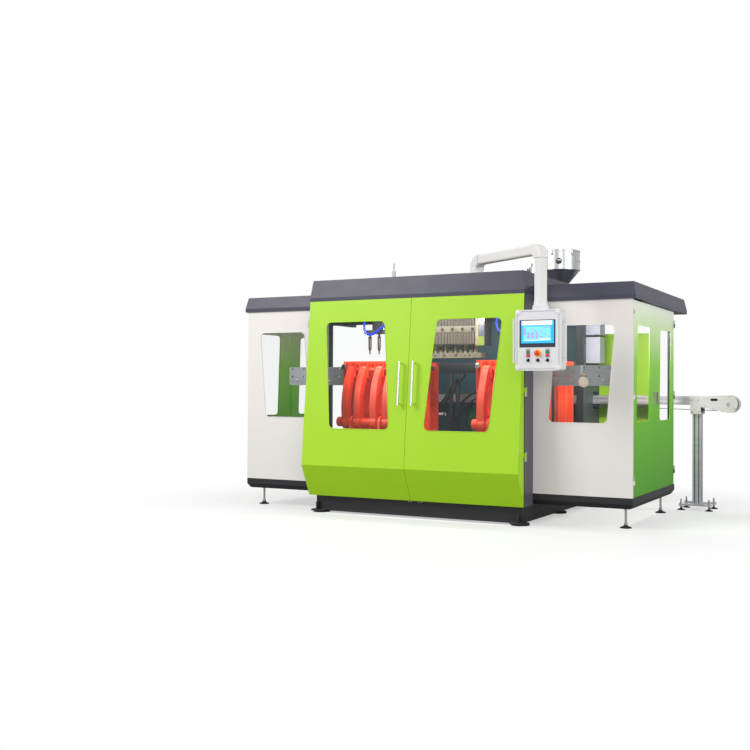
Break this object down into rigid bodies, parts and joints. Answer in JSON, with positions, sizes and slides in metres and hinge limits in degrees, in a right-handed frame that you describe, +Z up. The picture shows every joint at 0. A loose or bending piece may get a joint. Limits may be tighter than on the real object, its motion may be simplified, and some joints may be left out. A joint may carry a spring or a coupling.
{
  "type": "blow moulding machine",
  "caption": "Extrusion blow moulding machine in a green cabinet, with two shuttling clamps, die head, blow pins, swing-out operator panel and conveyor.",
  "frame": {"origin": "on the floor, in the plane of the front doors' upper edge, midway between the cabinet's sides", "axes": "+X to the right and +Y to the back, seen from the front; +Z up"},
  "size_m": [4.9809, 3.0123, 2.894],
  "materials": {
    "door_green": "satin lime powder coat",
    "end_green": "satin green powder coat",
    "cabin_white": "fine textured light grey powder coat",
    "roof_grey": "satin dark grey powder coat",
    "dark_steel": "satin near-black paint",
    "frame_grey": "dark grey paint",
    "back_panel": "dark paint",
    "glazing": "clear polycarbonate",
    "bright_metal": "bright tube",
    "boom_white": "satin off-white",
    "panel_grey": "satin light grey",
    "screen": "lit display",
    "button_green": "gloss",
    "button_red": "gloss",
    "knob_black": "gloss",
    "clamp_red": "gloss red enamel on castings",
    "pin_steel": "ground steel",
    "plate_steel": "milled plate",
    "head_steel": "heat tinted steel",
    "machine_grey": "grey enamel",
    "stainless": "polished stainless",
    "black_metal": "black oxide",
    "hose_blue": "polyurethane",
    "conveyor_alu": "anodised profile",
    "belt_grey": "matt belt",
    "foot_rubber": "black rubber",
    "lamp_white": "gloss"
  },
  "bodies": {
    "machine": {"base_plinth": "dark_steel", "levelling_feet": "foot_rubber", "main_frame": "frame_grey", "main_roof": "roof_grey", "rear_panel": "back_panel", "cabin_frames": "dark_steel", "left_cabin_front": "cabin_white", "right_cabin_front": "cabin_white", "cabin_glass": "glazing", "side_roofs": "roof_grey", "door_hinges": "bright_metal", "boom_base": "boom_white", "rail_bed": "plate_steel", "die_head": "head_steel", "die_lips": "head_steel", "extruder": "machine_grey", "hopper": "stainless", "vacuum_loader": "stainless", "blow_units": "black_metal", "air_hoses": "hose_blue", "conveyor_frame": "conveyor_alu", "conveyor_belt": "belt_grey", "conveyor_stand": "conveyor_alu", "signal_lamp": "lamp_white"},
    "left_door": {"left_door": "door_green", "left_door_glass": "glazing", "left_door_handle": "bright_metal"},
    "right_door": {"right_door": "door_green", "right_door_glass": "glazing", "right_door_handle": "bright_metal"},
    "left_end_door_front": {"left_end_door_front": "end_green"},
    "left_end_door_rear": {"left_end_door_rear": "end_green"},
    "right_end_door_front": {"right_end_door_front": "end_green"},
    "right_end_door_rear": {"right_end_door_rear": "end_green"},
    "boom": {"boom_arm": "boom_white"},
    "operator_panel": {"hmi_housing": "panel_grey", "hmi_screen": "screen"},
    "start_button_left": {"start_button_left": "button_green"},
    "stop_button_left": {"stop_button_left": "button_red"},
    "start_button_right": {"start_button_right": "button_green"},
    "stop_button_right": {"stop_button_right": "button_red"},
    "emergency_stop": {"emergency_stop": "button_red"},
    "selector_left": {"selector_left": "knob_black"},
    "selector_middle": {"selector_middle": "knob_black"},
    "selector_right": {"selector_right": "knob_black"},
    "left_clamp": {"left_carriage": "clamp_red", "left_tie_bars": "pin_steel"},
    "left_front_platen": {"left_front_platen": "clamp_red", "left_beam": "plate_steel"},
    "left_rear_platen": {"left_rear_platen": "clamp_red"},
    "left_arms": {"left_arms": "clamp_red"},
    "left_blow_pins": {"left_blow_pins": "pin_steel"},
    "right_clamp": {"right_carriage": "clamp_red", "right_tie_bars": "pin_steel"},
    "right_front_platen": {"right_front_platen": "clamp_red", "right_beam": "plate_steel"},
    "right_rear_platen": {"right_rear_platen": "clamp_red"},
    "right_arms": {"right_arms": "clamp_red"},
    "right_blow_pins": {"right_blow_pins": "pin_steel"},
    "end_drum": {"conveyor_drum": "pin_steel"}
  },
  "joints": [
    {"name": "left_door_swing", "type": "hinge", "parent": "machine", "child": "left_door", "pos_m": [-1.211, 0, 1.2], "axis": [0, 0, 1], "range_deg": [-95, 0]},
    {"name": "right_door_swing", "type": "hinge", "parent": "machine", "child": "right_door", "pos_m": [1.211, 0, 1.2], "axis": [0, 0, 1], "range_deg": [0, 75]},
    {"name": "left_end_door_front_swing", "type": "hinge", "parent": "machine", "child": "left_end_door_front", "pos_m": [-2.178, 0.28, 1.2], "axis": [0, 0, 1], "range_deg": [0, 100]},
    {"name": "left_end_door_rear_swing", "type": "hinge", "parent": "machine", "child": "left_end_door_rear", "pos_m": [-2.178, 1.98, 1.2], "axis": [0, 0, 1], "range_deg": [-95, 0]},
    {"name": "right_end_door_front_swing", "type": "hinge", "parent": "machine", "child": "right_end_door_front", "pos_m": [2.178, 0.28, 1.2], "axis": [0, 0, 1], "range_deg": [-100, 0]},
    {"name": "right_end_door_rear_swing", "type": "hinge", "parent": "machine", "child": "right_end_door_rear", "pos_m": [2.178, 1.98, 1.2], "axis": [0, 0, 1], "range_deg": [0, 95]},
    {"name": "boom_swing", "type": "hinge", "parent": "machine", "child": "boom", "pos_m": [0.62, 0.215, 2.55], "axis": [0, 0, 1], "range_deg": [-60, 15]},
    {"name": "panel_turn", "type": "hinge", "parent": "boom", "child": "operator_panel", "pos_m": [1.4689, -0.31545, 2.1], "axis": [0, 0, 1], "range_deg": [-60, 60]},
    {"name": "start_button_left_press", "type": "slide", "parent": "operator_panel", "child": "start_button_left", "axis": [0, 1, 0], "range_m": [0, 0.004], "stiffness_N_per_m": 400},
    {"name": "stop_button_left_press", "type": "slide", "parent": "operator_panel", "child": "stop_button_left", "axis": [0, 1, 0], "range_m": [0, 0.004], "stiffness_N_per_m": 400},
    {"name": "start_button_right_press", "type": "slide", "parent": "operator_panel", "child": "start_button_right", "axis": [0, 1, 0], "range_m": [0, 0.004], "stiffness_N_per_m": 400},
    {"name": "stop_button_right_press", "type": "slide", "parent": "operator_panel", "child": "stop_button_right", "axis": [0, 1, 0], "range_m": [0, 0.004], "stiffness_N_per_m": 400},
    {"name": "emergency_stop_press", "type": "slide", "parent": "operator_panel", "child": "emergency_stop", "axis": [0, 1, 0], "range_m": [0, 0.006]},
    {"name": "selector_left_turn", "type": "hinge", "parent": "operator_panel", "child": "selector_left", "pos_m": [1.3769, -0.39045, 1.573], "axis": [0, 1, 0], "range_deg": [-45, 45]},
    {"name": "selector_middle_turn", "type": "hinge", "parent": "operator_panel", "child": "selector_middle", "pos_m": [1.4689, -0.39045, 1.573], "axis": [0, 1, 0], "range_deg": [-45, 45]},
    {"name": "selector_right_turn", "type": "hinge", "parent": "operator_panel", "child": "selector_right", "pos_m": [1.5609, -0.39045, 1.573], "axis": [0, 1, 0], "range_deg": [-45, 45]},
    {"name": "left_shuttle", "type": "slide", "parent": "machine", "child": "left_clamp", "axis": [1, 0, 0], "range_m": [0, 0.78]},
    {"name": "left_clamp_front", "type": "slide", "parent": "left_clamp", "child": "left_front_platen", "axis": [0, 1, 0], "range_m": [0, 0.11]},
    {"name": "left_clamp_rear", "type": "slide", "parent": "left_clamp", "child": "left_rear_platen", "axis": [0, 1, 0], "range_m": [-0.11, 0]},
    {"name": "left_arm_turn", "type": "hinge", "parent": "left_clamp", "child": "left_arms", "pos_m": [-0.65, 0.27, 0.955], "axis": [1, 0, 0], "range_deg": [-11.8, 0.1]},
    {"name": "left_pins_down", "type": "slide", "parent": "machine", "child": "left_blow_pins", "axis": [0, 0, 1], "range_m": [-0.2, 0]},
    {"name": "right_shuttle", "type": "slide", "parent": "machine", "child": "right_clamp", "axis": [1, 0, 0], "range_m": [-0.78, 0]},
    {"name": "right_clamp_front", "type": "slide", "parent": "right_clamp", "child": "right_front_platen", "axis": [0, 1, 0], "range_m": [0, 0.11]},
    {"name": "right_clamp_rear", "type": "slide", "parent": "right_clamp", "child": "right_rear_platen", "axis": [0, 1, 0], "range_m": [-0.11, 0]},
    {"name": "right_arm_turn", "type": "hinge", "parent": "right_clamp", "child": "right_arms", "pos_m": [0.91, 0.27, 0.955], "axis": [1, 0, 0], "range_deg": [-11.8, 0.1]},
    {"name": "right_pins_down", "type": "slide", "parent": "machine", "child": "right_blow_pins", "axis": [0, 0, 1], "range_m": [-0.2, 0]},
    {"name": "end_drum_turn", "type": "hinge", "parent": "machine", "child": "end_drum", "pos_m": [2.685, 2.4, 1.162], "axis": [0, 1, 0], "continuous": true}
  ],
  "couplings": [
    {"joint": "left_clamp_rear", "follows": "left_clamp_front", "ratio": -1},
    {"joint": "left_arm_turn", "follows": "left_clamp_front", "rad_per_m": -1.8545},
    {"joint": "right_clamp_rear", "follows": "right_clamp_front", "ratio": -1},
    {"joint": "right_arm_turn", "follows": "right_clamp_front", "rad_per_m": -1.8545}
  ]
}
